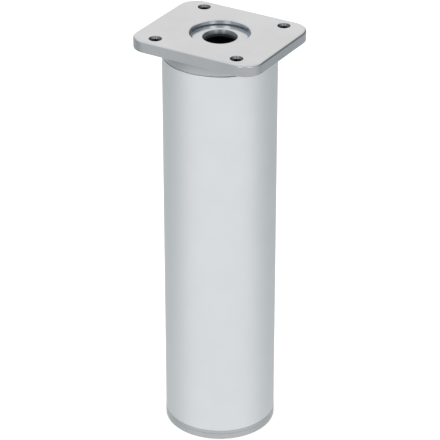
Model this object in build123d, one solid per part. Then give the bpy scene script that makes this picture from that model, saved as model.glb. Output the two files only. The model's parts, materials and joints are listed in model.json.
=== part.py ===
from build123d import *
from math import radians, tan
import os

# Adjustable furniture leg: a cast mounting head pushed into a round tube, and a foot on a screw spindle.
# Millimetres. The origin is on the floor, on the tube's axis. Z is up and the plate's long side lies along X.
# The foot is modelled fully screwed in.

# Tube
leg_height = 150.0            # from the tube's lower end to the top of the plate
tube_diameter = 40.0
tube_wall = 1.5
tube_upper_chamfer = 0.25
tube_lower_chamfer = 0.15

# Mounting head: plate, collar and hollow spigot in one casting
plate_length = 50.0
plate_width = 42.0
plate_thickness = 4.0
plate_corner_radius = 7.0
plate_upper_edge_radius = 0.8
plate_lower_edge_radius = 0.35
screw_hole_diameter = 3.4
screw_hole_mouth_width = 0.6
screw_hole_mouth_depth = 1.0
screw_spacing_x = 32.0
screw_spacing_y = 32.0
recess_diameter = 21.0
recess_edge_chamfer = 0.2
recess_groove_width = 0.95    # relief groove around the recess's floor
recess_groove_depth = 0.6
key_hole_diameter = 10.8
key_hole_mouth_width = 0.7    # conical mouth, which guides the key
key_hole_mouth_depth = 1.3
key_hole_web = 2.35           # thickness left under the recess
collar_height = 3.8
collar_inset = 0.25           # collar surface inside the tube surface
collar_edge_chamfer = 0.2
spigot_length = 16.0
spigot_wall = 2.2
spigot_lead_in = 1.0

# Base plug: moulded insert at the tube's lower end, with a downward pocket for the nut
flange_thickness = 1.2
flange_edge_radius = 0.08
base_overhang = 0.05          # flange and foot stand this far outside the tube
plug_wall = 2.0
plug_floor_thickness = 2.0
plug_hub_wall = 2.0           # around the corners of the nut pocket
plug_hub_web = 3.0            # above the nut
plug_rib_count = 8
plug_rib_thickness = 1.6
plug_lead_in = 0.8
crush_rib_count = 12
crush_rib_radius = 0.6
crush_rib_height = 0.3        # how far each outer rib stands off the plug wall

# Spindle and its nut
travel = 15.0
spindle_diameter = 10.0
spindle_end_chamfer = 0.6
spindle_head_diameter = 16.0
spindle_head_height = 10.0
spindle_head_chamfer = 0.8
key_size = 8.0                # across the flats of the hexagon socket
socket_depth = 6.0
neck_diameter = 7.0
neck_tail = 1.4               # neck left below the clip groove
clip_groove_depth = 0.5
nut_width = 17.0              # across the flats
nut_height = 8.0
nut_corner_angle = 30.0       # slope of the chamfer on the nut's corners, in degrees
nut_thread_chamfer = 0.5

# Washer and clip
washer_diameter = 14.0
washer_thickness = 1.0
clip_reach = 2.5              # how far the clip stands out of the neck
clip_thickness = 0.7
clip_ring_width = 1.7
clip_lug_count = 3
clip_lug_width = 2.2
clip_mouth_squeeze = 0.35     # each side of the mouth inside the groove's diameter

# Foot
foot_height = 2.15            # rim of the disc that stands on the floor
foot_lower_edge_radius = 0.25
foot_upper_edge_radius = 0.08
foot_ring_width = 3.65        # outer ring that touches the floor
foot_inner_ring_width = 2.9
foot_relief_depth = 0.6
foot_boss_height = 4.0
foot_boss_wall = 1.3
foot_boss_web = 2.9           # material that the neck passes through

# Clearances
push_fit = 0.05               # radial, spigot and plug ribs in the tube
thread_fit = 0.05             # radial, spindle in nut
neck_fit = 0.08               # radial, spindle neck in foot
washer_fit = 0.2              # radial, washer on the neck
clip_fit = 0.02               # radial, clip lugs on the groove
pocket_fit = 0.05             # at each flat of the nut
spindle_hole_room = 0.4       # radial, spindle through the plug above the nut
boss_room = 0.6               # radial, foot boss and washer in the plug
clip_room = 0.6               # radial, around the clip in the foot
axial_play = 0.1              # washer to boss, and clip to boss web
groove_play = 0.05            # clip in its groove, in height
foot_rest_gap = 0.05          # foot to flange with the foot screwed in
washer_to_nut = 0.5
head_stop_gap = 0.5           # spindle head to plug with the foot screwed out

# Radii that follow
tube_radius = tube_diameter / 2
tube_bore = tube_radius - tube_wall
base_radius = tube_radius + base_overhang
spigot_radius = tube_bore - push_fit
spindle_radius = spindle_diameter / 2
neck_radius = neck_diameter / 2
groove_radius = neck_radius - clip_groove_depth
clip_radius = neck_radius + clip_reach
clip_space_radius = clip_radius + clip_room
boss_radius = clip_space_radius + foot_boss_wall
washer_radius = washer_diameter / 2

# Heights that follow, from the floor up
boss_top = foot_height + foot_boss_height
boss_web_bottom = boss_top - foot_boss_web
clip_top = boss_web_bottom - axial_play
clip_bottom = clip_top - clip_thickness
groove_top = clip_top + groove_play
groove_bottom = clip_bottom - groove_play
neck_bottom = groove_bottom - neck_tail
shoulder = boss_top + axial_play + washer_thickness
nut_bottom = shoulder + washer_to_nut
nut_top = nut_bottom + nut_height
plug_top = nut_top + plug_hub_web
head_bottom = plug_top + travel + head_stop_gap
head_top = head_bottom + spindle_head_height
flange_bottom = foot_height + foot_rest_gap
tube_bottom = flange_bottom + flange_thickness
plate_top = tube_bottom + leg_height
plate_bottom = plate_top - plate_thickness
tube_top = plate_bottom - collar_height
recess_floor = plate_bottom + key_hole_web
spigot_bottom = tube_top - spigot_length


def turned(*corners):
    """Solid of revolution about Z from (radius, height) corners."""
    profile = make_face(Polyline(*corners, close=True))
    return revolve(Plane.XZ * profile, Axis.Z)


def prism(outline, bottom, top):
    """Upright solid with a flat outline between two heights."""
    return Pos(0, 0, bottom) * extrude(outline, top - bottom)


def disc(radius, bottom, top):
    """Upright cylinder on the axis between two heights."""
    return prism(Circle(radius), bottom, top)


def hexagon(across_flats):
    """Hexagon on the axis, measured across its flats."""
    return RegularPolygon(across_flats / 2, 6, major_radius=False)


def hole_tool(radius, bottom, top, mouth_width, mouth_depth):
    """Cutter for a round hole with a conical mouth at its upper end."""
    return turned(
        (0, bottom),
        (radius, bottom),
        (radius, top - mouth_depth),
        (radius + mouth_width, top),
        (0, top),
    )


def screw_places():
    """Centres of the four screw holes."""
    return GridLocations(screw_spacing_x, screw_spacing_y, 2, 2)


def screw_plate():
    """Flat plate with rounded corners and softened rims."""
    outline = RectangleRounded(plate_length, plate_width, plate_corner_radius)
    plate = prism(outline, plate_bottom, plate_top)
    plate = fillet(plate.faces().sort_by(Axis.Z)[0].edges(), plate_lower_edge_radius)
    return fillet(plate.faces().sort_by(Axis.Z)[-1].edges(), plate_upper_edge_radius)


def collar():
    """Ring between plate and tube, with its lower edge broken."""
    ring = disc(tube_radius - collar_inset, tube_top, plate_bottom)
    return chamfer(ring.edges().sort_by(Axis.Z)[0], collar_edge_chamfer)


def spigot():
    """Round stub with a lead-in, which the tube is pushed over."""
    return turned(
        (0, spigot_bottom),
        (spigot_radius - spigot_lead_in, spigot_bottom),
        (spigot_radius, spigot_bottom + spigot_lead_in),
        (spigot_radius, plate_bottom),
        (0, plate_bottom),
    )


def screw_hole():
    """Cutter for one screw hole, on the axis."""
    radius = screw_hole_diameter / 2
    return hole_tool(radius, plate_bottom, plate_top, screw_hole_mouth_width, screw_hole_mouth_depth)


def key_way():
    """Cutter for the key hole, the round recess above it and the groove around the recess's floor."""
    recess_radius = recess_diameter / 2
    relief_bottom = recess_floor - recess_groove_depth
    key_radius = key_hole_diameter / 2
    cutter = hole_tool(key_radius, plate_bottom, recess_floor, key_hole_mouth_width, key_hole_mouth_depth)
    cutter += hole_tool(recess_radius, recess_floor, plate_top, recess_edge_chamfer, recess_edge_chamfer)
    groove = Circle(recess_radius) - Circle(recess_radius - recess_groove_width)
    return cutter + prism(groove, relief_bottom, recess_floor)


def mounting_plate():
    """Casting of plate, collar and hollow spigot, with the screw holes, the recess and the key hole."""
    casting = screw_plate() + collar() + spigot()
    casting -= disc(spigot_radius - spigot_wall, spigot_bottom, plate_bottom)
    casting -= key_way()
    return casting - screw_places() * screw_hole()


def tube():
    """Straight round tube with its outer edges broken."""
    return turned(
        (tube_bore, tube_bottom),
        (tube_radius - tube_lower_chamfer, tube_bottom),
        (tube_radius, tube_bottom + tube_lower_chamfer),
        (tube_radius, tube_top - tube_upper_chamfer),
        (tube_radius - tube_upper_chamfer, tube_top),
        (tube_bore, tube_top),
    )


def base_plug():
    """Insert with a flange under the tube, a ribbed cup inside it and a nut pocket open to the floor."""
    flange = disc(base_radius, flange_bottom, tube_bottom)
    flange = fillet(flange.edges(), flange_edge_radius)

    plug_radius = tube_bore - push_fit - crush_rib_height
    shell = turned(
        (0, tube_bottom),
        (plug_radius, tube_bottom),
        (plug_radius, plug_top - plug_lead_in),
        (plug_radius - plug_lead_in, plug_top),
        (0, plug_top),
    )
    rib_centre = plug_radius + crush_rib_height - crush_rib_radius
    crush_rib = disc(crush_rib_radius, tube_bottom, plug_top - plug_lead_in)
    shell += PolarLocations(rib_centre, crush_rib_count) * crush_rib

    pocket = hexagon(nut_width + 2 * pocket_fit)
    boss_space_radius = max(boss_radius, washer_radius) + boss_room
    hub_radius = max(pocket.radius, boss_space_radius) + plug_hub_wall
    cup_radius = plug_radius - plug_wall
    cup_floor = flange_bottom + plug_floor_thickness
    cup = disc(cup_radius, cup_floor, plug_top) - disc(hub_radius, cup_floor, plug_top)
    rib = Pos(cup_radius / 2, 0) * Rectangle(cup_radius, plug_rib_thickness)
    cup -= PolarLocations(0, plug_rib_count) * prism(rib, cup_floor, plug_top)

    plug = flange + shell - cup
    plug -= prism(pocket, flange_bottom, nut_top)
    plug -= disc(boss_space_radius, flange_bottom, nut_bottom)
    return plug - disc(spindle_radius + spindle_hole_room, nut_top, plug_top)


def spindle_nut():
    """Hexagon nut with its corners and thread ends chamfered."""
    outline = hexagon(nut_width)
    corner_chamfer = (outline.radius - outline.apothem) * tan(radians(nut_corner_angle))
    crown = turned(
        (0, nut_bottom),
        (outline.apothem, nut_bottom),
        (outline.radius, nut_bottom + corner_chamfer),
        (outline.radius, nut_top - corner_chamfer),
        (outline.apothem, nut_top),
        (0, nut_top),
    )
    bore = spindle_radius + thread_fit
    thread = turned(
        (0, nut_bottom),
        (bore + nut_thread_chamfer, nut_bottom),
        (bore, nut_bottom + nut_thread_chamfer),
        (bore, nut_top - nut_thread_chamfer),
        (bore + nut_thread_chamfer, nut_top),
        (0, nut_top),
    )
    return (prism(outline, nut_bottom, nut_top) & crown) - thread


def spindle():
    """Screw with a hexagon socket head above and a grooved neck below, which carries the foot."""
    head_radius = spindle_head_diameter / 2
    blank = turned(
        (0, neck_bottom),
        (groove_radius, neck_bottom),
        (neck_radius, neck_bottom + clip_groove_depth),
        (neck_radius, groove_bottom),
        (groove_radius, groove_bottom),
        (groove_radius, groove_top),
        (neck_radius, groove_top),
        (neck_radius, shoulder),
        (spindle_radius - spindle_end_chamfer, shoulder),
        (spindle_radius, shoulder + spindle_end_chamfer),
        (spindle_radius, head_bottom),
        (head_radius, head_bottom),
        (head_radius, head_top - spindle_head_chamfer),
        (head_radius - spindle_head_chamfer, head_top),
        (0, head_top),
    )
    return blank - prism(hexagon(key_size), head_top - socket_depth, head_top)


def thrust_washer():
    """Flat washer between the spindle's shoulder and the foot."""
    ring = Circle(washer_radius) - Circle(neck_radius + washer_fit)
    return prism(ring, shoulder - washer_thickness, shoulder)


def retaining_clip():
    """Open spring clip that grips the neck's groove with its lugs."""
    ring = Circle(clip_radius) - Circle(clip_radius - clip_ring_width)
    lug = Pos(clip_radius / 2, 0) * Rectangle(clip_radius, clip_lug_width) & Circle(clip_radius)
    lug_places = PolarLocations(0, clip_lug_count + 1)  # the mouth takes the place of one lug
    mouth_width = 2 * (groove_radius - clip_mouth_squeeze)
    mouth = Pos(-clip_radius / 2, 0) * Rectangle(clip_radius, mouth_width)
    outline = ring + lug_places * lug - Circle(groove_radius + clip_fit) - mouth
    return prism(outline, clip_bottom, clip_top)


def foot():
    """Moulded disc on two standing rings, with a boss that turns on the spindle's neck."""
    body = disc(base_radius, 0, foot_height)
    body = fillet(body.edges().sort_by(Axis.Z)[0], foot_lower_edge_radius)
    body = fillet(body.edges().sort_by(Axis.Z)[-1], foot_upper_edge_radius)
    body += disc(boss_radius, 0, boss_top)
    body -= disc(neck_radius + neck_fit, 0, boss_top)
    body -= disc(clip_space_radius, 0, boss_web_bottom)
    relief = Circle(base_radius - foot_ring_width) - Circle(clip_space_radius + foot_inner_ring_width)
    return body - prism(relief, 0, foot_relief_depth)


pieces = (mounting_plate, tube, base_plug, spindle_nut, spindle, thrust_washer, retaining_clip, foot)

os.makedirs("parts", exist_ok=True)
for piece in pieces:
    export_step(piece(), f"parts/{piece.__name__}.step")
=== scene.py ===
"""Adjustable furniture leg: smooth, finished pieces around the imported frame, a plain studio and the camera.

Sizes are in millimetres and become metres when a mesh is written. Z is up, the tube's axis is the Z axis and
the floor is at height zero. The studio's own places are in metres and degrees.
"""

import json
import logging
from abc import ABC, abstractmethod
from dataclasses import dataclass, field
from enum import Enum

import bmesh
import bpy
import numpy as np
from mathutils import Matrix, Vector
from mathutils.geometry import tessellate_polygon


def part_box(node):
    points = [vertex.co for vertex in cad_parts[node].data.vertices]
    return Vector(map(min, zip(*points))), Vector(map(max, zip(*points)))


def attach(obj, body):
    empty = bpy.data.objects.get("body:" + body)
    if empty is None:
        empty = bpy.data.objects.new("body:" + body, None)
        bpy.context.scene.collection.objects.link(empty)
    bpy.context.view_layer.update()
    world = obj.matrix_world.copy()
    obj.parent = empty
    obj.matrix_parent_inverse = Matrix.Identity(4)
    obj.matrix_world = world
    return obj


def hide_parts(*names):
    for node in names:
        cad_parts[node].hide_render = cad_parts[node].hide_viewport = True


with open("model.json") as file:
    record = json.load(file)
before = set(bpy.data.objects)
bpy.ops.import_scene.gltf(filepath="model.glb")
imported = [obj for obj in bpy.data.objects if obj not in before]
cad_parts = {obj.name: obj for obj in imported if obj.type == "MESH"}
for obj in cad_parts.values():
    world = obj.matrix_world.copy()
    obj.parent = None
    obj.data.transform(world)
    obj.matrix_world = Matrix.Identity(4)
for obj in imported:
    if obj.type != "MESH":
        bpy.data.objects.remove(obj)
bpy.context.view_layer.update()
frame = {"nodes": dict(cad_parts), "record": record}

Array = np.ndarray
Piece = bpy.types.Object
Socket = bpy.types.NodeSocket
Colour = tuple[float, float, float]

METRES_PER_MM = 0.001
BOX_DECIMALS = 3          # of a millimetre, in the frame's extents
WELD_DISTANCE = 1e-7      # metres
FULL_TURN = 2.0 * np.pi
QUARTER_TURN = np.pi / 2
HEXAGON_SIDES = 6
SHARP = 0.0               # edge radius of a corner that isn't rounded
TONE = "tone"             # attribute of the head's mesh that its finish reads, with its tones and painted shade

log = logging.getLogger("furniture_leg")


class Body(Enum):
    """Bodies of the frame that pieces ride on."""

    LEG = "leg"
    FOOT = "foot"
    SPINDLE = "spindle"


class Slot(Enum):
    """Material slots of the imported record."""

    CAST_HEAD = "cast_head"
    ANODISED_TUBE = "anodised_tube"
    GREY_PLASTIC = "grey_plastic"
    PLATED_STEEL = "plated_steel"


class Facing(Enum):
    """Side that a flat cap shows."""

    UP = 1
    DOWN = -1


class Curve(Enum):
    """Ways for a value to go from one end of a range to the other."""

    EVEN = "LINEAR"
    SMOOTH = "SMOOTHSTEP"


@dataclass(frozen=True)
class NodeBox:
    """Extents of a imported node, in millimetres."""

    low: tuple[float, ...]
    high: tuple[float, ...]

    @classmethod
    def of(cls, node: str) -> "NodeBox":
        """Reads the extents of the named node from the frame."""
        low, high = (np.round(np.array(corner) / METRES_PER_MM, BOX_DECIMALS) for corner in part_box(node))
        return cls(tuple(low), tuple(high))

    @property
    def radius(self) -> float:
        """Reach along X, which is the radius of a round node."""
        return float(self.high[0])

    @property
    def bottom(self) -> float:
        """Lowest height."""
        return float(self.low[2])

    @property
    def top(self) -> float:
        """Highest height."""
        return float(self.high[2])


def mount_size(name: str, size: str) -> float:
    """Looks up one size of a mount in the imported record, in millimetres."""
    return next(mount["dims"][size] for mount in frame["record"]["mounts"] if mount["name"] == name)


def around(count: int) -> Array:
    """Evenly spaced angles once around the axis, in radians."""
    return np.linspace(0.0, FULL_TURN, count, endpoint=False)


def ring(radius: float | Array, height: float | Array, turn: Array) -> Array:
    """Points about the axis: at angle a they lie at (radius cos a, radius sin a, height)."""
    return np.stack(np.broadcast_arrays(radius * np.cos(turn), radius * np.sin(turn), height), axis=-1)


def turned(profile: Array, turn: Array) -> Array:
    """Surface of revolution: each (radius, height) row of the profile is carried round the axis."""
    return ring(profile[:, :1], profile[:, 1:2], turn)


def circle(radius: float, turn: Array, centre: tuple[float, float] = (0.0, 0.0)) -> Array:
    """Flat loop: the centre plus radius times (cos a, sin a) at each angle."""
    return np.stack([centre[0] + radius * np.cos(turn), centre[1] + radius * np.sin(turn)], axis=-1)


def lifted(loop: Array, *heights: float) -> Array:
    """Copies of a flat loop, one at each height, as the rings of an upright wall."""
    return np.stack([np.column_stack([loop, np.full(len(loop), height)]) for height in heights])


def softened(corners: list[tuple[float, float, float]], steps: int = 6) -> Array:
    """Profile with rounded corners.

    At each corner an arc of the given edge radius touches both sides. With h as half the angle between the
    sides, it starts and ends edge radius / tan h from the corner. Its centre is edge radius / sin h along
    the bisector. The arc itself is the circular blend of its two end directions.

    Args:
        corners: Rows of (radius, height, edge radius), counterclockwise around the section.
        steps: Points on each arc.

    Returns:
        Array of (radius, height) rows without repeated points.
    """
    table = np.array(corners, dtype=float)
    corner, edge = table[:, :2], table[:, 2:]
    to_last = np.roll(corner, 1, axis=0) - corner
    to_next = np.roll(corner, -1, axis=0) - corner
    to_last /= np.linalg.norm(to_last, axis=1, keepdims=True)
    to_next /= np.linalg.norm(to_next, axis=1, keepdims=True)
    half = np.arccos(np.clip((to_last * to_next).sum(axis=1, keepdims=True), -1.0, 1.0)) / 2
    bisector = to_last + to_next
    bisector /= np.linalg.norm(bisector, axis=1, keepdims=True)
    centre = corner + bisector * edge / np.sin(half)
    start = corner + to_last * edge / np.tan(half) - centre
    end = corner + to_next * edge / np.tan(half) - centre
    sweep = (np.pi - 2 * half)[:, None, :]
    share = np.linspace(0.0, 1.0, steps)[None, :, None]
    blend = np.sin((1 - share) * sweep) * start[:, None, :] + np.sin(share * sweep) * end[:, None, :]
    points = (centre[:, None, :] + blend / np.sin(sweep)).reshape(-1, 2)
    fresh = np.linalg.norm(points - np.roll(points, 1, axis=0), axis=1) > WELD_DISTANCE / METRES_PER_MM
    return points[fresh]


def linked(name: str, data: bpy.types.ID) -> Piece:
    """Makes an object and puts it in the scene.

    Args:
        name: Name of the object.
        data: Its mesh, lamp or camera.

    Returns:
        The object, at the origin.
    """
    made = bpy.data.objects.new(name, data)
    bpy.context.scene.collection.objects.link(made)
    return made


class Shell:
    """Closed mesh put together from ring strips and flat caps, which are welded where they meet."""

    sharp_angle: float = np.radians(32.0)

    def __init__(self) -> None:
        """Starts with no surface."""
        self.points: list[Array] = []
        self.quads: list[Array] = []
        self.triangles: list[Array] = []
        self.size = 0

    def take(self, points: Array) -> Array:
        """Adds points.

        Args:
            points: Grid of points, with the coordinates last.

        Returns:
            The points' indices in the same grid.
        """
        grid = self.size + np.arange(points[..., 0].size).reshape(points.shape[:-1])
        self.points.append(points.reshape(-1, 3))
        self.size += grid.size
        return grid

    def strip(self, rings: Array, closed: bool = False) -> None:
        """Joins neighbouring rings with quads.

        Point j of ring i goes with points (i, j + 1), (i + 1, j + 1) and (i + 1, j). A wall faces outwards
        when its rings run counterclockwise seen from above and follow each other upwards.

        Args:
            rings: Array of rings, points and coordinates.
            closed: Whether the last ring joins the first.
        """
        grid = self.take(rings)
        lower = grid if closed else grid[:-1]
        upper = np.roll(grid, -1, axis=0) if closed else grid[1:]
        quads = np.stack([lower, np.roll(lower, -1, axis=1), np.roll(upper, -1, axis=1), upper], axis=-1)
        self.quads.append(quads.reshape(-1, 4))

    def sheet(self, points: Array) -> None:
        """Joins a grid of points with quads, open along all four sides.

        Args:
            points: Grid of points, with the coordinates last.
        """
        grid = self.take(points)
        quads = np.stack([grid[:-1, :-1], grid[:-1, 1:], grid[1:, 1:], grid[1:, :-1]], axis=-1)
        self.quads.append(quads.reshape(-1, 4))

    def cap(self, loops: list[Array], height: float, facing: Facing) -> None:
        """Fills the flat area between an outer loop and any loops inside it.

        Args:
            loops: Outer loop first, then the holes, as (x, y) rows.
            height: Height of the flat face.
            facing: Side that the face shows.
        """
        flat = np.concatenate(loops)
        corners = np.array(tessellate_polygon([lifted(loop, height)[0].tolist() for loop in loops]))
        first, second, third = (flat[corners[:, k]] for k in range(3))
        along, across = second - first, third - first
        area = along[:, 0] * across[:, 1] - along[:, 1] * across[:, 0]
        wrong = np.sign(area) != facing.value
        corners[wrong] = corners[wrong][:, ::-1]
        grid = self.take(lifted(flat, height)[0])
        self.triangles.append(grid[corners])

    def piece(self, name: str) -> Piece:
        """Writes the surface to a mesh object at the origin.

        Args:
            name: Name of the object.

        Returns:
            The object, smooth except at edges sharper than sharp_angle.
        """
        quads = np.concatenate(self.quads)
        triangles = np.concatenate(self.triangles) if self.triangles else np.empty((0, 3), dtype=int)
        corners = np.concatenate([quads.ravel(), triangles.ravel()])
        starts = np.concatenate([4 * np.arange(len(quads)), quads.size + 3 * np.arange(len(triangles))])
        points = np.concatenate(self.points) * METRES_PER_MM
        mesh = bpy.data.meshes.new(name)
        mesh.vertices.add(len(points))
        mesh.vertices.foreach_set("co", points.ravel())
        mesh.loops.add(len(corners))
        mesh.loops.foreach_set("vertex_index", corners.astype(np.int32))
        mesh.polygons.add(len(starts))
        mesh.polygons.foreach_set("loop_start", starts.astype(np.int32))
        mesh.update(calc_edges=True)
        self.weld(mesh)
        mesh.shade_smooth()
        mesh.set_sharp_from_angle(angle=self.sharp_angle)
        made = linked(name, mesh)
        made.modifiers.new("flat_faces_first", "WEIGHTED_NORMAL").keep_sharp = True
        return made

    @staticmethod
    def weld(mesh: bpy.types.Mesh) -> None:
        """Merges the points that strips and caps share and turns all faces outwards.

        Args:
            mesh: Mesh to weld.
        """
        work = bmesh.new()
        work.from_mesh(mesh)
        bmesh.ops.remove_doubles(work, verts=work.verts, dist=WELD_DISTANCE)
        bmesh.ops.dissolve_degenerate(work, edges=work.edges, dist=WELD_DISTANCE)
        bmesh.ops.recalc_face_normals(work, faces=work.faces)
        work.to_mesh(mesh)
        work.free()


def turned_piece(name: str, section: Array, steps: int) -> Piece:
    """Makes a round piece: a closed section carried round the axis.

    Args:
        name: Name of the object.
        section: Loop of (radius, height) rows, counterclockwise.
        steps: Points around the axis.

    Returns:
        The object.
    """
    shell = Shell()
    shell.strip(turned(section, around(steps)), closed=True)
    return shell.piece(name)


class NodeGraph:
    """Shader node tree with short calls to add and join nodes."""

    def __init__(self, owner: bpy.types.Material | bpy.types.World) -> None:
        """Empties the owner's node tree.

        Args:
            owner: Material or world to fill.
        """
        owner.use_nodes = True
        self.tree = owner.node_tree
        self.tree.nodes.clear()

    def add(self, kind: str, inputs: dict[str | int, object] | None = None,
            **settings: object) -> bpy.types.Node:
        """Adds a node.

        Args:
            kind: Blender's name of the node type.
            inputs: Values, or output sockets to join, by the name or the number of the input.
            **settings: Properties of the node itself.

        Returns:
            The new node.
        """
        node = self.tree.nodes.new(kind)
        for key, value in settings.items():
            setattr(node, key, value)
        for key, value in (inputs or {}).items():
            if isinstance(value, Socket):
                self.tree.links.new(value, node.inputs[key])
            else:
                node.inputs[key].default_value = value
        return node

    def math(self, operation: str, first: object, second: object = 0.0) -> Socket:
        """Adds a math node and returns its result."""
        return self.add("ShaderNodeMath", {0: first, 1: second}, operation=operation).outputs[0]

    def vector(self, operation: str, first: object, second: object, result: str) -> Socket:
        """Adds a vector math node and returns the named result."""
        return self.add("ShaderNodeVectorMath", {0: first, 1: second}, operation=operation).outputs[result]

    def mix(self, share: object, first: Socket, second: Socket) -> Socket:
        """Adds a mix of two shaders, where share 0 is the first, and returns its result."""
        return self.add("ShaderNodeMixShader", {0: share, 1: first, 2: second}).outputs[0]

    def blend(self, share: object, first: object, second: object) -> Socket:
        """Adds a blend of two colours, where share 0 is the first, and returns its result."""
        return self.add("ShaderNodeMixRGB", {0: share, 1: first, 2: second}).outputs[0]

    def noise(self, place: Socket, scale: float, detail: float, roughness: float) -> Socket:
        """Adds soft noise over the given place and returns its values, which lie about one half."""
        settings = {"Vector": place, "Scale": scale, "Detail": detail, "Roughness": roughness}
        return self.add("ShaderNodeTexNoise", settings).outputs["Fac"]

    def span(self, value: Socket, source: tuple[float, float], target: tuple[object, object],
             curve: Curve = Curve.EVEN) -> Socket:
        """Maps a value from one range to another.

        Args:
            value: Socket to map.
            source: Range that the value comes in.
            target: Range that it leaves in, as values or sockets.
            curve: How it goes from end to end.

        Returns:
            The mapped value's socket.
        """
        settings = {"Value": value, "From Min": source[0], "From Max": source[1],
                    "To Min": target[0], "To Max": target[1]}
        return self.add("ShaderNodeMapRange", settings, interpolation_type=curve.value).outputs["Result"]


@dataclass(frozen=True)
class Finish:
    """Surface finish: a mottled colour and gloss over a fine relief, all in the piece's own coordinates."""

    name: str
    colour: Colour
    roughness: float
    metallic: float
    grain_scale: float            # features per metre of the fine relief
    grain_depth: float            # height of the fine relief, in metres
    grain_detail: float = 3.0
    grain_roughness: float = 0.55
    mottle_scale: float = 90.0    # features per metre of the slow change in colour and gloss
    mottle_detail: float = 4.0
    mottle_roughness: float = 0.6
    mottle_ends: tuple[float, float] = (0.3, 0.7)    # noise values of the darkest and the lightest colour
    colour_spread: float = 0.03
    roughness_spread: float = 0.05
    roughness_reach: float = 0.4  # relief less mottle at which the roughness is at its ends
    grazing: float = 1.0          # share of the light kept where the surface turns away

    def relief(self, graph: NodeGraph, place: Socket) -> Socket:
        """Heights of the fine relief, from 0 to 1: soft noise of an even grain over Object coordinates."""
        return graph.noise(place, self.grain_scale, self.grain_detail, self.grain_roughness)

    def tint(self, graph: NodeGraph, colour: Socket) -> Socket:
        """Last change to the mottled colour before it reaches the shader. Here it stays as it is."""
        return colour

    def metal(self, graph: NodeGraph) -> float | Socket:
        """Share of bare metal in the surface, which is one value here."""
        return self.metallic

    def material(self) -> bpy.types.Material:
        """Builds the material once and finds it by its name after that.

        The mottle takes the colour evenly from dark to light, by colour_spread to each side. The roughness
        follows the relief less the mottle, by roughness_spread to each side.

        Returns:
            The material.
        """
        if self.name in bpy.data.materials:
            return bpy.data.materials[self.name]
        material = bpy.data.materials.new(self.name)
        graph = NodeGraph(material)
        place = graph.add("ShaderNodeTexCoord").outputs["Object"]
        mottle = graph.noise(place, self.mottle_scale, self.mottle_detail, self.mottle_roughness)
        height = self.relief(graph, place)
        ramp = graph.add("ShaderNodeValToRGB", {"Fac": mottle})
        for stop, end, side in zip(ramp.color_ramp.elements, self.mottle_ends, (-1.0, 1.0)):
            stop.position = end
            stop.color = (*(np.array(self.colour) * (1.0 + side * self.colour_spread)), 1.0)
        bump = graph.add("ShaderNodeBump", {"Height": height, "Distance": self.grain_depth, "Strength": 1.0})
        uneven = graph.math("SUBTRACT", height, mottle)
        gloss = graph.span(uneven, (-self.roughness_reach, self.roughness_reach),
                           (self.roughness - self.roughness_spread, self.roughness + self.roughness_spread))
        shader = graph.add("ShaderNodeBsdfPrincipled", {
            "Base Color": self.tint(graph, ramp.outputs["Color"]),
            "Metallic": self.metal(graph),
            "Roughness": gloss,
            "Normal": bump.outputs["Normal"],
            "Specular Tint": (self.grazing, self.grazing, self.grazing, 1.0),
        })
        graph.add("ShaderNodeOutputMaterial", {"Surface": shader.outputs["BSDF"]})
        return material


@dataclass(frozen=True)
class CastFinish(Finish):
    """Satin casting: ground top, bright turned walls, bluish skin, dull key hole, painted shade in holes and
    collar.
    """

    def tint(self, graph: NodeGraph, colour: Socket) -> Socket:
        """Colour times the mesh's own tone: white on ground faces, painted shade in the holes and on the
        collar.
        """
        tone = graph.add("ShaderNodeAttribute", attribute_name=TONE).outputs["Color"]
        return graph.vector("MULTIPLY", colour, tone, "Vector")

    def metal(self, graph: NodeGraph) -> float | Socket:
        """Share of bare metal, times the tone's fourth value, which is 0 on the key hole's dull skin."""
        bare = graph.add("ShaderNodeAttribute", attribute_name=TONE).outputs["Alpha"]
        return graph.math("MULTIPLY", bare, self.metallic)


@dataclass(frozen=True)
class DrawnFinish(Finish):
    """Anodised drawn tube: the relief is pulled out into faint lines along the tube."""

    line_stretch: float = 60.0

    def relief(self, graph: NodeGraph, place: Socket) -> Socket:
        """Heights of the drawing lines: noise that changes line_stretch times slower along Z."""
        pulled = {"Vector": place, "Scale": (1.0, 1.0, 1.0 / self.line_stretch)}
        return super().relief(graph, graph.add("ShaderNodeMapping", pulled).outputs["Vector"])


@dataclass(frozen=True)
class MouldedFinish(Finish):
    """Moulded plastic with metal pigment: the relief is a fine spark-eroded grain of rounded cells."""

    def relief(self, graph: NodeGraph, place: Socket) -> Socket:
        """Heights of the grain: distance to the nearest of many scattered points."""
        cells = {"Vector": place, "Scale": self.grain_scale}
        return graph.add("ShaderNodeTexVoronoi", cells, feature="SMOOTH_F1").outputs["Distance"]


@dataclass(frozen=True)
class TurnedFinish(Finish):
    """Turned and plated steel: the relief is fine tool rings about the axis."""

    ring_bend: float = 1.5
    ring_detail: float = 2.0

    def relief(self, graph: NodeGraph, place: Socket) -> Socket:
        """Heights of the tool rings: sine bands along Z, bent a little by noise."""
        rings = {"Vector": place, "Scale": self.grain_scale,
                 "Distortion": self.ring_bend, "Detail": self.ring_detail}
        return graph.add("ShaderNodeTexWave", rings, bands_direction="Z").outputs["Fac"]


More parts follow.
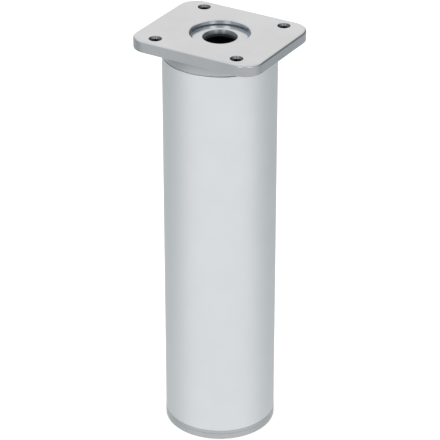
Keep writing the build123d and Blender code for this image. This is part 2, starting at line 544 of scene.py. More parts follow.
CAST_METAL = CastFinish(
    name="satin_casting", colour=(0.398, 0.397, 0.403), roughness=0.20, metallic=1.0,
    grain_scale=2400.0, grain_depth=2e-6, roughness_spread=0.03)
TUBE_METAL = DrawnFinish(
    name="silver_anodised", colour=(0.705, 0.729, 0.740), roughness=0.42, metallic=1.0,
    grain_scale=2600.0, grain_depth=1.2e-6, colour_spread=0.012, roughness_spread=0.03, grazing=0.8)
GREY_MOULDED = MouldedFinish(
    name="grey_moulded", colour=(0.455, 0.477, 0.487), roughness=0.40, metallic=0.9,
    grain_scale=2200.0, grain_depth=9e-6)
ZINC_PLATED = TurnedFinish(
    name="zinc_plated", colour=(0.62, 0.63, 0.645), roughness=0.27, metallic=1.0,
    grain_scale=900.0, grain_depth=2e-6)
OILED_SPRING = Finish(
    name="oiled_spring", colour=(0.11, 0.11, 0.115), roughness=0.36, metallic=1.0,
    grain_scale=1800.0, grain_depth=4e-6)


def dress(piece: Piece, finish: Finish, body: Body, slot: Slot, *nodes: str) -> Piece:
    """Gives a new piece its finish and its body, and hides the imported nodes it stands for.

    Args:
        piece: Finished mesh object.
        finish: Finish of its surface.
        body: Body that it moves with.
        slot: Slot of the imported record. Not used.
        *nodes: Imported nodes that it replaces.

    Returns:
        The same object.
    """
    piece.data.materials.append(finish.material())
    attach(piece, body.value)
    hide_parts(*nodes)
    return piece


class Assembly(ABC):
    """Sub-assembly of the leg, which makes its own pieces."""

    @abstractmethod
    def build(self) -> list[Piece]:
        """Builds and dresses the pieces and returns them."""


@dataclass
class LegTube(Assembly):
    """Drawn tube with its ends softly broken."""

    box: NodeBox = NodeBox.of("tube")
    wall: float = 1.5
    push_fit: float = 0.05        # radial, around what is pushed into the tube
    upper_edge: float = 0.25
    lower_edge: float = 0.15
    inner_edge: float = 0.15
    round_steps: int = 288

    @property
    def bore(self) -> float:
        """Inner radius."""
        return self.box.radius - self.wall

    def build(self) -> list[Piece]:
        """Builds and dresses the tube: its wall section turned about the axis.

        Returns:
            The tube.
        """
        section = softened([
            (self.bore, self.box.bottom, self.inner_edge),
            (self.box.radius, self.box.bottom, self.lower_edge),
            (self.box.radius, self.box.top, self.upper_edge),
            (self.bore, self.box.top, self.inner_edge),
        ])
        tube = turned_piece("leg_tube", section, self.round_steps)
        return [dress(tube, TUBE_METAL, Body.LEG, Slot.ANODISED_TUBE, "tube")]


@dataclass
class MountingHead(Assembly):
    """Cast head: screw plate, collar and hollow spigot in one piece."""

    box: NodeBox = NodeBox.of("mounting_plate")
    tube: LegTube = field(default_factory=LegTube)
    thickness: float = 4.0
    corner_radius: float = 7.0
    upper_edge: float = 0.8
    lower_edge: float = 0.35
    recess_radius: float = 10.5
    recess_depth: float = 1.65
    recess_lip: float = 0.2           # chamfer around the recess
    recess_lip_edge: float = 0.03
    groove_width: float = 0.95
    groove_depth: float = 0.6
    groove_edge: float = 0.1
    key_radius: float = mount_size("key_hole", "r_mm")
    key_edge: float = 0.2
    key_mouth_depth: float = 1.3
    key_mouth_width: float = 0.7
    key_mouth_edge: float = 0.15
    screw_radius: float = mount_size("plate_screws", "hole_r_mm")
    screw_spacing_x: float = mount_size("plate_screws", "spacing_x_mm")
    screw_spacing_y: float = mount_size("plate_screws", "spacing_y_mm")
    screw_mouth_depth: float = 1.0
    screw_mouth_width: float = 0.6
    screw_mouth_break: float = 0.05   # share of the mouth in its first ring
    collar_inset: float = 0.25
    collar_edge: float = 0.2
    spigot_wall: float = 2.2
    spigot_lead_in: float = 1.0
    spigot_edge: float = 0.3          # at the lead-in and at the bore
    spigot_end_edge: float = 0.2
    bore_fillet: float = 0.5          # where the bore meets the plate
    turned_tone: float = 1.72         # of the recess's turned wall
    groove_tone: float = 1.1          # of the groove under it
    collar_shade_tones: tuple[float, float] = (1.1, 0.84)   # painted light and shade: lighter at the tube's end, darker under the plate
    # painted shade on the key hole's mouth
    key_mouth_shade: float = 0.55
    key_wall_shade: float = 0.12       # painted shade on the dull wall below the key hole's mouth
    # painted shade on the screw holes' conical mouths
    screw_mouth_shade: float = 0.42
    hole_shade_tone: float = 0.03           # painted shade deep in the screw holes
    hole_shade_fade: float = 0.3            # height over which the painted shade in a screw hole deepens, which ends under its mouth
    skin_tone: Colour = (1.008, 1.063, 1.081)
    hollow_tone: Colour = (0.92, 1.0, 1.06)           # over the tones in the recess and the holes
    tone_margin: float = 0.02         # how far off an edge a face's tone starts
    corner_steps: int = 24
    edge_steps: int = 9
    hole_steps: int = 72
    hole_rings: int = 12
    round_steps: int = 720

    @property
    def top(self) -> float:
        """Height of the plate's upper face."""
        return self.box.top

    @property
    def bottom(self) -> float:
        """Height of the plate's lower face."""
        return self.box.top - self.thickness

    @property
    def collar_radius(self) -> float:
        """Radius of the collar between plate and tube."""
        return self.tube.box.radius - self.collar_inset

    @property
    def spigot_radius(self) -> float:
        """Radius of the spigot, which the tube is pushed over."""
        return self.tube.bore - self.tube.push_fit

    @property
    def spigot_bore(self) -> float:
        """Inner radius of the spigot."""
        return self.spigot_radius - self.spigot_wall

    @property
    def groove_radius(self) -> float:
        """Inner radius of the groove around the recess's floor."""
        return self.recess_radius - self.groove_width

    @property
    def screw_mouth_radius(self) -> float:
        """Radius of a screw hole's mouth at the plate's upper face."""
        return self.screw_radius + self.screw_mouth_width

    @property
    def screw_centres(self) -> Array:
        """Centres of the four screw holes as (x, y) rows."""
        signs = np.array([(1, 1), (-1, 1), (-1, -1), (1, -1)])
        return signs * np.array([self.screw_spacing_x, self.screw_spacing_y]) / 2

    def outline(self, inset: float) -> Array:
        """Rounded rectangle of the plate, moved inwards.

        Each corner is a quarter circle of radius (corner radius - inset) about a fixed centre.

        Args:
            inset: Distance inwards from the plate's side.

        Returns:
            Loop of (x, y) rows, counterclockwise.
        """
        starts = np.arange(4) * QUARTER_TURN
        turn = (starts[:, None] + np.linspace(0.0, QUARTER_TURN, self.corner_steps)).ravel()
        middle = np.repeat(starts + QUARTER_TURN / 2, self.corner_steps)
        centre_x = np.sign(np.cos(middle)) * (self.box.high[0] - self.corner_radius)
        centre_y = np.sign(np.sin(middle)) * (self.box.high[1] - self.corner_radius)
        reach = self.corner_radius - inset
        return np.stack([centre_x + reach * np.cos(turn), centre_y + reach * np.sin(turn)], axis=-1)

    def rim(self) -> Array:
        """Plate's side: the outline rises through a quarter round of each edge's radius.

        Returns:
            Array of rings, points and coordinates.
        """
        quarter = np.linspace(0.0, QUARTER_TURN, self.edge_steps)
        rising, easing = 1 - np.cos(quarter), 1 - np.sin(quarter)
        insets = np.concatenate([self.lower_edge * easing, self.upper_edge * rising])
        lower, upper = self.bottom + self.lower_edge * rising, self.top - self.upper_edge * easing
        heights = np.concatenate([lower, upper])
        rings = [lifted(self.outline(inset), height) for inset, height in zip(insets, heights)]
        return np.concatenate(rings)

    def core(self) -> Array:
        """Section from under the plate down the collar, round the spigot and up the key hole to the top.

        Returns:
            Array of (radius, height) rows.
        """
        end, floor = self.box.bottom, self.top - self.recess_depth
        spigot, bore, key = self.spigot_radius, self.spigot_bore, self.key_radius
        return softened([
            (self.collar_radius, self.bottom, SHARP),
            (self.collar_radius, self.tube.box.top, self.collar_edge),
            (spigot, self.tube.box.top, SHARP),
            (spigot, end + self.spigot_lead_in, self.spigot_edge),
            (spigot - self.spigot_lead_in, end, self.spigot_end_edge),
            (bore, end, self.spigot_edge),
            (bore, self.bottom, self.bore_fillet),
            (key, self.bottom, self.key_edge),
            (key, floor - self.key_mouth_depth, self.key_edge),
            (key + self.key_mouth_width, floor, self.key_mouth_edge),
            (self.groove_radius, floor, self.groove_edge),
            (self.groove_radius, floor - self.groove_depth, self.groove_edge),
            (self.recess_radius, floor - self.groove_depth, self.groove_edge),
            (self.recess_radius, self.top - self.recess_lip, self.recess_lip_edge),
            (self.recess_radius + self.recess_lip, self.top, SHARP),
        ])

    def hole_wall(self, centre: tuple[float, float], turn: Array) -> Array:
        """Wall of a screw hole, from its conical mouth down to the plate's lower face.

        Args:
            centre: Centre of the hole as (x, y).
            turn: Angles around it, in radians.

        Returns:
            Array of rings, points and coordinates.
        """
        depths = np.linspace(self.top - self.screw_mouth_depth, self.bottom, self.hole_rings)
        inner = np.linspace(1.0 - self.screw_mouth_break, 0.0, self.hole_rings, endpoint=False)
        mouth = [lifted(circle(self.screw_radius + share * self.screw_mouth_width, turn, centre),
                        self.top - (1 - share) * self.screw_mouth_depth) for share in (1.0, *inner)]
        return np.concatenate([*mouth, lifted(circle(self.screw_radius, turn, centre), *depths)])

    def build(self) -> list[Piece]:
        """Builds and dresses the head.

        Returns:
            The head.
        """
        shell = Shell()
        turn, hole_turn = around(self.round_steps), around(self.hole_steps)
        centres = [tuple(centre) for centre in self.screw_centres]
        mouths, holes = ([circle(radius, hole_turn, centre) for centre in centres]
                         for radius in (self.screw_mouth_radius, self.screw_radius))
        recess = circle(self.recess_radius + self.recess_lip, turn)
        collar = circle(self.collar_radius, turn)
        shell.strip(self.rim())
        shell.cap([self.outline(self.upper_edge), recess, *mouths], self.top, Facing.UP)
        shell.cap([self.outline(self.lower_edge), collar, *holes], self.bottom, Facing.DOWN)
        for centre in centres:
            shell.strip(self.hole_wall(centre, hole_turn))
        shell.strip(turned(self.core(), turn))
        head = shell.piece("mounting_head")
        self.set_tone(head.data)
        return [dress(head, CAST_METAL, Body.LEG, Slot.CAST_HEAD, "mounting_plate")]

    def screw_shade(self, depth: Array) -> Array:
        """Painted shade down a screw hole.

        It falls smoothly from the mouth's tone to hole_shade_tone, as 3 t^2 - 2 t^3 with t the share of
        hole_shade_fade, and is 1 again at the plate's lower face.

        Args:
            depth: Depths under the plate's upper face.

        Returns:
            Tone at each depth.
        """
        share = np.clip((depth - self.screw_mouth_depth) / self.hole_shade_fade + 1.0, 0.0, 1.0)
        fall = share ** 2 * (3 - 2 * share)
        tone = self.screw_mouth_shade + (self.hole_shade_tone - self.screw_mouth_shade) * fall
        return np.where(depth > self.thickness - self.tone_margin, 1.0, tone)

    def set_tone(self, mesh: bpy.types.Mesh) -> None:
        """Writes the tone of each point: a factor for each colour, and how bare the metal is.

        The factor is 1 on the ground faces and has its own value on the recess's wall, its groove and the
        cast skin outside. On the mouths of the holes it is painted shade, which deepens down the screw holes.
        It changes evenly up the collar, as painted shade that darkens it under the plate, and down the key
        hole's mouth, where painted shade darkens the hole and the metal also turns dull.

        Args:
            mesh: Finished mesh of the head.
        """
        points = np.empty(len(mesh.vertices) * 3)
        mesh.vertices.foreach_get("co", points)
        points = points.reshape(-1, 3) / METRES_PER_MM
        margin = self.tone_margin
        depth = self.top - points[:, 2]
        away = np.hypot(points[:, 0], points[:, 1])
        screw_away = np.linalg.norm(points[:, None, :2] - self.screw_centres, axis=-1).min(axis=1)
        below = depth > margin
        on_wall = (np.abs(away - self.recess_radius) < margin) & (depth < self.recess_depth)
        in_groove = (away > self.groove_radius - margin) & (away < self.recess_radius + margin)
        in_groove &= (depth > self.recess_depth + margin) & (depth < self.thickness)
        inside = away < self.spigot_bore + margin
        in_key_hole = inside & ((away < self.key_radius + self.key_mouth_width) | (depth > self.thickness))
        # share down the key hole's mouth, where the metal turns dull and painted shade darkens it
        dull = np.clip((depth - self.recess_depth) / self.key_mouth_depth, 0.0, 1.0) * in_key_hole
        on_collar = np.abs(away - self.collar_radius) < margin
        in_hole = (screw_away < self.screw_mouth_radius) & below
        on_skin = (away > self.recess_radius + self.recess_lip) & below & ~inside & ~in_hole
        key_shade = self.key_mouth_shade + (self.key_wall_shade - self.key_mouth_shade) * dull
        # painted shade up the collar, darkest under the plate's overhang
        collar_shade = np.interp(points[:, 2], [self.tube.box.top, self.bottom], self.collar_shade_tones)
        # the holes' tones are painted shade; the recess's wall and groove have their own tones
        hollows = [in_hole, in_groove, on_wall, dull > 0]
        hollow_tones = [self.screw_shade(depth), self.groove_tone, self.turned_tone, key_shade]
        tone = np.select([*hollows, on_collar], [*hollow_tones, collar_shade], 1.0)
        tint = np.select([np.any(hollows, axis=0)[:, None], on_skin[:, None]],
                         [np.array(self.hollow_tone), np.array(self.skin_tone)], 1.0)
        layer = mesh.attributes.new(TONE, "FLOAT_COLOR", "POINT")
        layer.data.foreach_set("color", np.column_stack([tone[:, None] * tint, 1.0 - dull]).ravel())


@dataclass
class BasePlug(Assembly):
    """Moulded insert with a flange under the tube, a ribbed cup and a nut pocket."""

    box: NodeBox = NodeBox.of("base_plug")
    nut: NodeBox = NodeBox.of("spindle_nut")
    tube: LegTube = field(default_factory=LegTube)
    flange_edge: float = 0.08
    wall: float = 2.0
    lead_in: float = 0.8
    crush_ribs: int = 12
    crush_rib_radius: float = 0.6
    crush_rib_height: float = 0.3
    cup_ribs: int = 8
    cup_rib_thickness: float = 1.6
    hub_radius: float = 11.87
    floor_thickness: float = 2.0
    pocket_fit: float = 0.05
    spindle_hole_radius: float = 5.4
    round_steps: int = 720
    arc_steps: int = 24

    @property
    def wall_radius(self) -> float:
        """Radius of the wall, whose crush ribs reach the tube."""
        return self.tube.bore - self.tube.push_fit - self.crush_rib_height

    @property
    def hexagon(self) -> Array:
        """Loop of the nut pocket, with a corner on the X axis."""
        flat = self.nut.high[1] + self.pocket_fit
        return circle(flat / np.cos(np.pi / HEXAGON_SIDES), around(HEXAGON_SIDES))

    def ribbed_wall(self, turn: Array) -> Array:
        """Radius of the wall with its crush ribs.

        A rib is a circle of radius q about a point d from the axis. A ray at angle a from it leaves the
        circle at d cos a + sqrt(q^2 - d^2 sin^2 a), and the wall is the larger of that and its own radius.

        Args:
            turn: Angles in radians.

        Returns:
            Radius at each angle.
        """
        spacing = FULL_TURN / self.crush_ribs
        offset = (turn + spacing / 2) % spacing - spacing / 2
        distance = self.wall_radius + self.crush_rib_height - self.crush_rib_radius
        room = np.maximum(self.crush_rib_radius ** 2 - (distance * np.sin(offset)) ** 2, 0.0)
        rib = np.where(room > 0, distance * np.cos(offset) + np.sqrt(room), 0.0)
        return np.maximum(self.wall_radius, rib)

    def cup_pocket(self, place: int) -> Array:
        """Pocket between two cup ribs: an arc under the wall and an arc back along the hub.

        Args:
            place: Number of the pocket around the axis.

        Returns:
            Loop of (x, y) rows, counterclockwise.
        """
        spacing = FULL_TURN / self.cup_ribs
        share = np.linspace(0.0, 1.0, self.arc_steps)
        arcs = []
        for radius, run in ((self.wall_radius - self.wall, share), (self.hub_radius, share[::-1])):
            margin = np.arcsin(self.cup_rib_thickness / 2 / radius)
            arcs.append(circle(radius, place * spacing + margin + run * (spacing - 2 * margin)))
        return np.concatenate(arcs)

    def build(self) -> list[Piece]:
        """Builds and dresses the plug.

        Returns:
            The plug.
        """
        shell = Shell()
        turn = around(self.round_steps)
        bottom, top, flange_top = self.box.bottom, self.box.top, self.tube.box.bottom
        flange_reach = self.box.radius - self.flange_edge
        cup_floor = bottom + self.floor_thickness
        ribbed = self.ribbed_wall(turn)
        flange = softened([
            (flange_reach, bottom, SHARP),
            (self.box.radius, bottom, self.flange_edge),
            (self.box.radius, flange_top, self.flange_edge),
            (flange_reach, flange_top, SHARP),
        ])
        hole = circle(self.spindle_hole_radius, turn)
        pockets = [self.cup_pocket(place) for place in range(self.cup_ribs)]
        shell.cap([circle(flange_reach, turn), self.hexagon], bottom, Facing.DOWN)
        shell.strip(turned(flange, turn))
        shell.strip(np.stack([
            ring(flange_reach, flange_top, turn),
            ring(ribbed, flange_top, turn),
            ring(ribbed, top - self.lead_in, turn),
            ring(self.wall_radius, top - self.lead_in, turn),
            ring(self.wall_radius - self.lead_in, top, turn),
        ]))
        shell.cap([circle(self.wall_radius - self.lead_in, turn), hole, *pockets], top, Facing.UP)
        for pocket in pockets:
            shell.strip(lifted(pocket, top, cup_floor))
            shell.cap([pocket], cup_floor, Facing.UP)
        shell.strip(lifted(hole, top, self.nut.top))
        shell.cap([self.hexagon, hole], self.nut.top, Facing.DOWN)
        shell.strip(lifted(self.hexagon, self.nut.top, bottom))
        plug = shell.piece("base_plug_insert")
        return [dress(plug, GREY_MOULDED, Body.LEG, Slot.GREY_PLASTIC, "base_plug")]


@dataclass
class SpindleNut(Assembly):
    """Hexagon nut that lies in the plug's pocket."""

    box: NodeBox = NodeBox.of("spindle_nut")
    bore: float = 5.05
    thread_chamfer: float = 0.5
    corner_slope: float = np.radians(30.0)
    round_steps: int = 360

    def build(self) -> list[Piece]:
        """Builds and dresses the nut.

        At angle a the hexagon reaches apothem / cos(a folded into one sixth of a turn). The corner chamfer is
        a cone from the apothem, so it ends (reach - apothem) times the tangent of its slope away from each
        flat face.

        Returns:
            The nut.
        """
        turn = around(self.round_steps)
        bottom, top, apothem = self.box.bottom, self.box.top, self.box.high[1]
        sixth = FULL_TURN / HEXAGON_SIDES
        reach = apothem / np.cos(turn % sixth - sixth / 2)
        drop = (reach - apothem) * np.tan(self.corner_slope)
        mouth = self.bore + self.thread_chamfer
        shell = Shell()
        shell.strip(np.stack([
            ring(apothem, bottom, turn),
            ring(reach, bottom + drop, turn),
            ring(reach, top - drop, turn),
            ring(apothem, top, turn),
            ring(mouth, top, turn),
            ring(self.bore, top - self.thread_chamfer, turn),
            ring(self.bore, bottom + self.thread_chamfer, turn),
            ring(mouth, bottom, turn),
        ]), closed=True)
        nut = shell.piece("captive_nut")
        return [dress(nut, ZINC_PLATED, Body.LEG, Slot.PLATED_STEEL, "spindle_nut")]


@dataclass
class JackSpindle(Assembly):
    """Screw spindle with its socket head, thread and grooved neck, its washer and its clip."""

    box: NodeBox = NodeBox.of("spindle")
    washer: NodeBox = NodeBox.of("thrust_washer")
    clip: NodeBox = NodeBox.of("retaining_clip")
    thread_radius: float = 5.0
    thread_depth: float = 0.92
    thread_pitch: float = 1.5
    thread_root_flat: float = 0.25       # this and the next two are shares of the pitch
    thread_crest_flat: float = 0.125
    thread_crest_break: float = 0.0375
    thread_flank_reach: float = 0.93     # share of the depth where the flank meets the broken crest
    thread_end_drop: float = 0.02        # how far inside the root the thread ends
    head_height: float = 10.0
    head_chamfer: float = 0.8
    head_chamfer_edge: float = 0.3
    head_lower_edge: float = 0.2
    key_size: float = 8.0
    socket_depth: float = 6.0
    neck_radius: float = 3.5
    neck_end_edge: float = 0.1
    shoulder_fillet: float = 0.15
    groove_depth: float = 0.5
    groove_play: float = 0.05
    groove_edge: float = 0.05
    washer_fit: float = 0.2
    washer_edge: float = 0.12
    turn_steps: int = 96

    @property
    def shoulder(self) -> float:
        """Height of the shoulder that stands on the washer."""
        return self.washer.top

    @property
    def head_bottom(self) -> float:
        """Height of the head's lower face."""
        return self.box.top - self.head_height

    @property
    def thread_root(self) -> float:
        """Radius of the thread's root."""
        return self.thread_radius - self.thread_depth

    @property
    def thread_end(self) -> float:
        """Radius at which the thread ends at the shoulder and at the head."""
        return self.thread_root - self.thread_end_drop

    def thread_section(self) -> tuple[Array, Array]:
        """One pitch of the thread: half the root's flat, the flank, the broken crest, and the same back.

        Returns:
            Places along the pitch and reaches from root to crest, both as shares.
        """
        crest = (1.0 - self.thread_crest_flat) / 2
        places = np.array([0.0, self.thread_root_flat / 2, crest - self.thread_crest_break, crest])
        reaches = np.array([0.0, 0.0, self.thread_flank_reach, 1.0])
        return np.concatenate([places, 1.0 - places[::-1]]), np.concatenate([reaches, reaches[::-1]])

    def thread(self) -> Array:
        """Right-hand thread: a trapezium section one pitch high, carried along a helix.

        At angle a and section place s the height is a pitch / turn + s, held between the shoulder and the
        head. The radius is the section's, cut at each end by a 45 degree cone that starts at thread_end.

        Returns:
            Grid of points over angle and section place.
        """
        places, reaches = self.thread_section()
        low, high = self.shoulder, self.head_bottom
        turns = int(np.ceil((high - low) / self.thread_pitch)) + 1
        turn = np.arange(turns * self.turn_steps + 1)[:, None] * FULL_TURN / self.turn_steps
        rise = low - self.thread_pitch + self.thread_pitch * (turn / FULL_TURN + places)
        height = np.clip(rise, low, high)
        cone = self.thread_end + np.minimum(height - low, high - height)
        return ring(np.minimum(self.thread_root + self.thread_depth * reaches, cone), height, turn)

    def build(self) -> list[Piece]:
        """Builds and dresses the spindle and the washer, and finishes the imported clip.

        Returns:
            The spindle, the washer and the clip.
        """
        clip = frame["nodes"]["retaining_clip"]
        clip.data.materials.clear()
        clip.data.materials.append(OILED_SPRING.material())
        return [self.build_spindle(), self.build_washer(), clip]

    def build_spindle(self) -> Piece:
        """Builds and dresses the spindle.

        Returns:
            The spindle.
        """
        shell = Shell()
        turn = around(self.turn_steps)
        bottom, top = self.box.bottom, self.box.top
        groove, face = self.neck_radius - self.groove_depth, self.box.radius - self.head_chamfer
        groove_low, groove_high = self.clip.bottom - self.groove_play, self.clip.top + self.groove_play
        neck = softened([
            (0.0, bottom, SHARP),
            (groove, bottom, self.neck_end_edge),
            (self.neck_radius, bottom + self.groove_depth, self.neck_end_edge),
            (self.neck_radius, groove_low, self.groove_edge),
            (groove, groove_low, self.groove_edge),
            (groove, groove_high, self.groove_edge),
            (self.neck_radius, groove_high, self.groove_edge),
            (self.neck_radius, self.shoulder, self.shoulder_fillet),
            (self.thread_end, self.shoulder, SHARP),
        ])
        head = softened([
            (self.thread_end, self.head_bottom, SHARP),
            (self.box.radius, self.head_bottom, self.head_lower_edge),
            (self.box.radius, top - self.head_chamfer, self.head_chamfer_edge),
            (face, top, SHARP),
        ])
        socket = circle(self.key_size / 2 / np.cos(np.pi / HEXAGON_SIDES), around(HEXAGON_SIDES))
        shell.strip(turned(neck, turn))
        shell.sheet(self.thread().swapaxes(0, 1)[:, ::-1])
        shell.strip(turned(head, turn))
        shell.cap([circle(face, turn), socket], top, Facing.UP)
        shell.strip(lifted(socket, top, top - self.socket_depth))
        shell.cap([socket], top - self.socket_depth, Facing.UP)
        return dress(shell.piece("jack_spindle"), ZINC_PLATED, Body.SPINDLE, Slot.PLATED_STEEL, "spindle")

    def build_washer(self) -> Piece:
        """Builds and dresses the thrust washer, a softened flat section turned about the axis.

        Returns:
            The washer.
        """
        bore = self.neck_radius + self.washer_fit
        section = softened([
            (bore, self.washer.bottom, self.washer_edge),
            (self.washer.radius, self.washer.bottom, self.washer_edge),
            (self.washer.radius, self.washer.top, self.washer_edge),
            (bore, self.washer.top, self.washer_edge),
        ])
        washer = turned_piece("thrust_ring", section, self.turn_steps)
        return dress(washer, ZINC_PLATED, Body.SPINDLE, Slot.PLATED_STEEL, "thrust_washer")


@dataclass
class LevellingFoot(Assembly):
    """Moulded foot: a disc on two standing rings, with a boss that turns on the spindle's neck."""

    box: NodeBox = NodeBox.of("foot")
    rim_height: float = 2.15
    lower_edge: float = 0.1
    upper_edge: float = 0.08
    ring_width: float = 3.65
    ring_edge: float = 0.2
    inner_ring_reach: float = 9.5
    relief_depth: float = 0.6
    boss_radius: float = 7.9
    boss_web: float = 2.9
    boss_edge: float = 0.3
    clip_space_radius: float = 6.6
    neck_hole: float = 3.58
    neck_hole_edges: tuple[float, float] = (0.1, 0.2)    # below and above
    round_steps: int = 288

    def build(self) -> list[Piece]:
        """Builds and dresses the foot: its section turned about the axis.

        Returns:
            The foot.
        """
        floor, relief = self.box.bottom, self.box.bottom + self.relief_depth
        relief_outside = self.box.radius - self.ring_width
        web_bottom = self.box.top - self.boss_web
        hole_lower_edge, hole_upper_edge = self.neck_hole_edges
        section = softened([
            (self.neck_hole, web_bottom, hole_lower_edge),
            (self.clip_space_radius, web_bottom, self.ring_edge),
            (self.clip_space_radius, floor, self.ring_edge),
            (self.inner_ring_reach, floor, self.ring_edge),
            (self.inner_ring_reach, relief, self.ring_edge),
            (relief_outside, relief, self.ring_edge),
            (relief_outside, floor, self.ring_edge),
            (self.box.radius, floor, self.lower_edge),
            (self.box.radius, self.rim_height, self.upper_edge),
            (self.boss_radius, self.rim_height, self.boss_edge),
            (self.boss_radius, self.box.top, self.boss_edge),
            (self.neck_hole, self.box.top, hole_upper_edge),
        ])
        foot = turned_piece("levelling_foot", section, self.round_steps)
        return [dress(foot, GREY_MOULDED, Body.FOOT, Slot.GREY_PLASTIC, "foot")]


@dataclass(frozen=True)
class SoftBox:
    """Square studio lamp that faces the leg, placed by its direction from it."""

    name: str
    azimuth: float            # degrees to the right of the camera's direction
    elevation: float = 32.0   # degrees above the floor
    distance: float = 1.0     # metres
    width: float = 0.34       # metres
    brightness: float = 1.6   # radiance of its face, where 1 is white

    @property
    def power(self) -> float:
        """Power of an even face: its brightness times pi times its area."""
        return self.brightness * np.pi * self.width ** 2


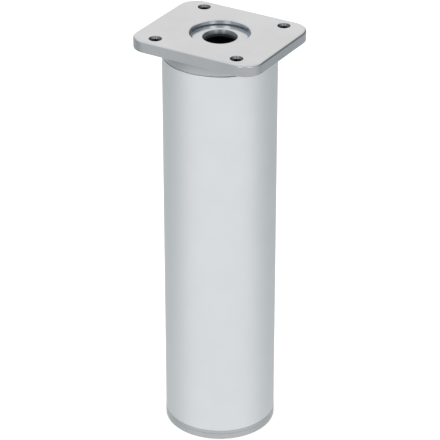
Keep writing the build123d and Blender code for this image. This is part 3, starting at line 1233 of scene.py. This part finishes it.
@dataclass
class Studio:
    """White studio: floor, lamps, light tent and the camera."""

    camera_azimuth: float = 30.913
    camera_elevation: float = 28.465
    camera_distance: float = 0.7931
    camera_lens: float = 181.7
    sensor_width: float = 36.0
    aim_height: float = 0.0804
    floor_width: float = 3.0
    floor_colour: float = 0.8
    floor_glow: float = 0.35
    floor_sheen: float = 0.2                                 # how much of the floor metal shows, at the foot
    floor_sheen_reach: tuple[float, float] = (0.05, 0.22)    # metres from the axis over which it fades
    back_elevation: float = 50.0
    back_reach: tuple[float, float] = (0.3, 0.9)
    back_gain: float = 0.5
    flag_azimuth: float = 117.0
    flag_start: float = 0.42
    flag_rise: tuple[float, float] = (-0.34, -0.12)          # sines of the elevations where a flag deepens
    flag_end: tuple[float, float] = (0.4, 0.65)              # and where it ends
    flag_middle: tuple[float, float] = (-0.1, 0.1)           # sideways, from the left depths to the right
    flag_depths_low: tuple[float, float] = (0.38, 0.33)      # left and right
    flag_depths_high: tuple[float, float] = (0.35, 0.75)
    flag_colour_low: Colour = (0.0, 0.09, 0.12)
    flag_colour_high: Colour = (0.03, 0.04, 0.04)
    lamps: tuple[SoftBox, ...] = (SoftBox("left_box", azimuth=-27.0), SoftBox("right_box", azimuth=27.0))

    def direction(self, azimuth: float, elevation: float = 0.0) -> Vector:
        """Unit vector from the leg, by azimuth to the right of the camera and elevation, in degrees."""
        turn, rise = np.radians(self.camera_azimuth + azimuth), np.radians(elevation)
        return Vector((np.sin(turn) * np.cos(rise), -np.cos(turn) * np.cos(rise), np.sin(rise)))

    def stand(self, item: Piece, back: Vector, distance: float) -> None:
        """Stands a lamp or the camera away from the aim point and turns it to face that point.

        Args:
            item: Lamp or camera.
            back: Direction from the aim point.
            distance: Distance from it, in metres.
        """
        item.location = Vector((0.0, 0.0, self.aim_height)) + back * distance
        item.rotation_mode = "QUATERNION"
        item.rotation_quaternion = (-back).to_track_quat("-Z", "Y")

    def build(self) -> None:
        """Builds the whole studio."""
        self.build_floor()
        self.build_lamps()
        self.build_tent()
        self.build_camera()
        bpy.context.scene.view_settings.view_transform = "Standard"

    def build_floor(self) -> None:
        """Builds the pale floor, which goes up and down with the foot that stands on it.

        The floor is white to the camera but keeps the shadow: its own glow and the light that it catches add
        up to white where nothing shades it. Metal shows a white sheen around the foot that fades with the
        distance from the axis, and the tent through the rest. Seen from below the floor is clear.
        """
        reach = self.floor_width / 2
        corners = [(-reach, -reach, 0.0), (reach, -reach, 0.0), (reach, reach, 0.0), (-reach, reach, 0.0)]
        mesh = bpy.data.meshes.new("studio_floor")
        mesh.from_pydata(corners, [], [(0, 1, 2, 3)])
        floor = linked("studio_floor", mesh)
        material = bpy.data.materials.new("studio_floor")
        graph = NodeGraph(material)
        path = graph.add("ShaderNodeLightPath").outputs
        seen = graph.math("MAXIMUM", path["Is Camera Ray"], path["Is Transmission Ray"])
        paint = graph.add("ShaderNodeBsdfDiffuse", {"Color": (*(self.floor_colour,) * 3, 1.0)})
        glow = graph.add("ShaderNodeEmission", {"Strength": graph.math("MULTIPLY", seen, self.floor_glow)})
        lit = graph.add("ShaderNodeAddShader", {0: paint.outputs["BSDF"], 1: glow.outputs["Emission"]})
        clear = graph.add("ShaderNodeBsdfTransparent").outputs["BSDF"]
        white = graph.add("ShaderNodeEmission").outputs["Emission"]
        place = graph.add("ShaderNodeTexCoord").outputs["Object"]
        away = graph.vector("LENGTH", place, (0.0, 0.0, 0.0), "Value")
        sheen = graph.span(away, self.floor_sheen_reach, (self.floor_sheen, 0.0), Curve.SMOOTH)
        shown = graph.mix(path["Is Glossy Ray"], lit.outputs["Shader"], graph.mix(sheen, clear, white))
        below = graph.add("ShaderNodeNewGeometry").outputs["Backfacing"]
        graph.add("ShaderNodeOutputMaterial", {"Surface": graph.mix(below, shown, clear)})
        mesh.materials.append(material)
        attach(floor, Body.FOOT.value)

    def build_lamps(self) -> None:
        """Builds the soft boxes, which the camera doesn't see."""
        for box in self.lamps:
            light = bpy.data.lights.new(box.name, "AREA")
            light.shape = "SQUARE"
            light.size = box.width
            light.energy = box.power
            lamp = linked(box.name, light)
            self.stand(lamp, self.direction(box.azimuth, box.elevation), box.distance)
            lamp.visible_camera = False

    def build_tent(self) -> None:
        """Builds the world: a white tent, brighter up behind the leg, with a dark, bluish flag on each side.

        With t as the cosine of the angle to the nearer flag's direction, a flag fades in smoothly from
        flag_start to 1. Its depth changes just below the horizon, and it ends below the top of the tent. The
        light behind the leg fades in over back_reach in the same way. The camera sees neither, so the
        background stays plain.
        """
        world = bpy.data.worlds.new("light_tent")
        bpy.context.scene.world = world
        graph = NodeGraph(world)
        place = graph.add("ShaderNodeTexCoord").outputs["Generated"]
        unseen = graph.math("SUBTRACT", 1.0, graph.add("ShaderNodeLightPath").outputs["Is Camera Ray"])
        side, forwards, rise, backwards = (
            graph.vector("DOT_PRODUCT", place, way, "Value") for way in (
                self.direction(90.0), self.direction(0.0), Vector((0.0, 0.0, 1.0)),
                self.direction(180.0, self.back_elevation)))
        turn = np.radians(self.flag_azimuth)
        near = graph.math("ADD", graph.math("MULTIPLY", graph.math("ABSOLUTE", side), float(np.sin(turn))),
                          graph.math("MULTIPLY", forwards, float(np.cos(turn))))
        flag = graph.span(near, (self.flag_start, 1.0), (0.0, 1.0), Curve.SMOOTH)
        depths = tuple(graph.span(side, self.flag_middle, ends)
                       for ends in (self.flag_depths_low, self.flag_depths_high))
        depth = graph.math("MINIMUM", graph.span(rise, self.flag_rise, depths, Curve.SMOOTH),
                           graph.span(rise, self.flag_end, (1.0, 0.0), Curve.SMOOTH))
        cover = graph.math("MULTIPLY", graph.math("MULTIPLY", flag, depth), unseen)
        flag_colour = graph.blend(graph.span(rise, self.flag_rise, (0.0, 1.0), Curve.SMOOTH),
                                  (*self.flag_colour_low, 1.0), (*self.flag_colour_high, 1.0))
        gain = graph.span(backwards, self.back_reach, (0.0, self.back_gain), Curve.SMOOTH)
        back = graph.add("ShaderNodeBackground", {
            "Color": graph.blend(cover, (1.0, 1.0, 1.0, 1.0), flag_colour),
            "Strength": graph.math("ADD", 1.0, graph.math("MULTIPLY", gain, unseen))})
        graph.add("ShaderNodeOutputWorld", {"Surface": back.outputs["Background"]})

    def build_camera(self) -> None:
        """Builds the camera at the photograph's angle."""
        data = bpy.data.cameras.new("camera")
        data.lens = self.camera_lens
        data.sensor_width = self.sensor_width
        camera = linked("camera", data)
        self.stand(camera, self.direction(0.0, self.camera_elevation), self.camera_distance)
        bpy.context.scene.camera = camera


def main() -> None:
    """Builds the pieces in order, then the studio."""
    logging.basicConfig(level=logging.INFO, format="%(name)s: %(message)s")
    for assembly in (MountingHead(), LegTube(), BasePlug(), SpindleNut(), JackSpindle(), LevellingFoot()):
        for piece in assembly.build():
            log.info("%s: %d faces, %s", piece.name, len(piece.data.polygons), piece.data.materials[0].name)
    Studio().build()
    log.info("sizes written")


if __name__ == "__main__":
    main()
